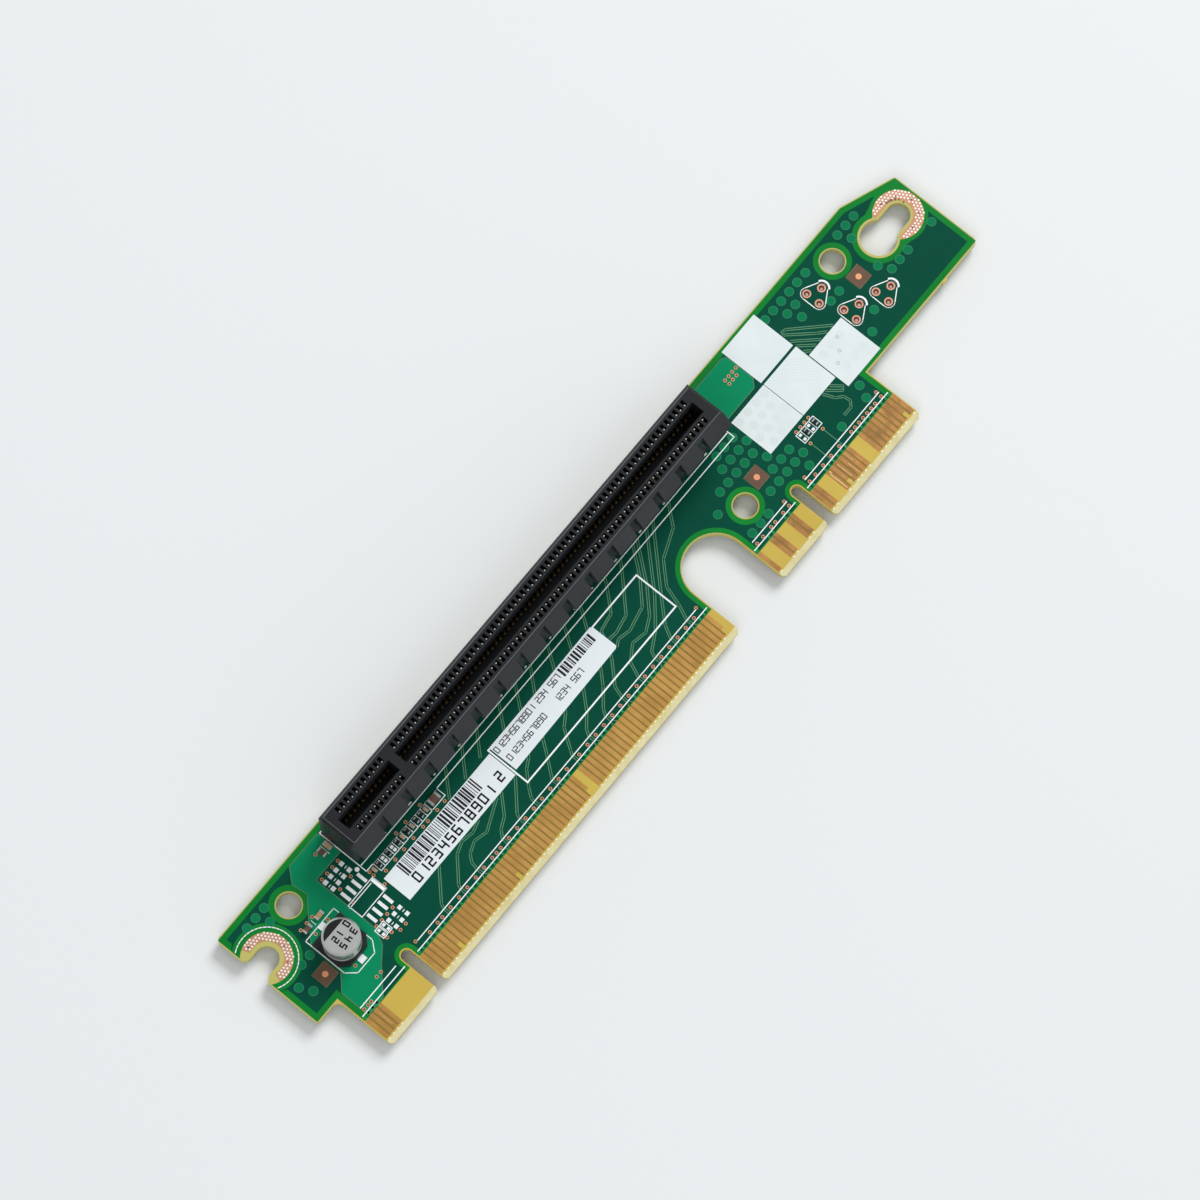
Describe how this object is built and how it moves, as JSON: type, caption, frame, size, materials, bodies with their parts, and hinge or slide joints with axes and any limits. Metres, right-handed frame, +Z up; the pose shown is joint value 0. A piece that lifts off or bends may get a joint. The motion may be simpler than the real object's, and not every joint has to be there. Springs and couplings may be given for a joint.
{
  "type": "riser card",
  "caption": "Long narrow circuit board with two contact-edge tabs and an upright keyed card slot along the far edge, with mounting holes, an end notch and a keyhole.",
  "frame": {"origin": "on the floor, under the middle of the card's outline", "axes": "+X along the card from the capacitor end to the keyhole end, +Y from the contact edge to the slot, +Z up out of the board's fitted face"},
  "size_m": [0.1616, 0.0312, 0.0139],
  "materials": {
    "laminate": "pale glass-fibre laminate, bare at the tabs and rims",
    "solder_mask": "dark green translucent coat",
    "black_plastic": "moulded, slightly glossy sides",
    "gold": "thin gold plate, worn",
    "contact_metal": "plated spring strip",
    "solder": "tin, soft shine",
    "bare_copper": "tinned copper, dotted",
    "can_metal": "drawn can, satin",
    "black_ink": "printed segment",
    "brown_ceramic": "fired ceramic",
    "tan_ceramic": "fired ceramic",
    "black_ceramic": "coated ceramic",
    "white_ink": "printed, thin",
    "label_paper": "white label stock"
  },
  "bodies": {
    "root": {"circuit_board": "laminate", "solder_mask_top": "solder_mask", "solder_mask_bottom": "solder_mask", "slot_housing": "black_plastic", "slot_contacts_far": "contact_metal", "slot_contacts_near": "contact_metal", "solder_joints": "solder", "long_contacts_top": "gold", "long_contacts_bottom": "gold", "short_contacts_top": "gold", "short_contacts_bottom": "gold", "keyhole_pads": "bare_copper", "notch_pads": "bare_copper", "capacitor_can": "can_metal", "capacitor_stripe": "black_ink", "capacitor_base": "black_plastic", "capacitor_leads": "solder", "brown_chips": "brown_ceramic", "tan_chips": "tan_ceramic", "black_chips": "black_ceramic", "large_chip": "brown_ceramic", "chip_ends": "solder", "empty_lands": "solder", "printed_blocks": "white_ink", "long_label": "label_paper", "round_label": "label_paper"}
  },
  "joints": []
}
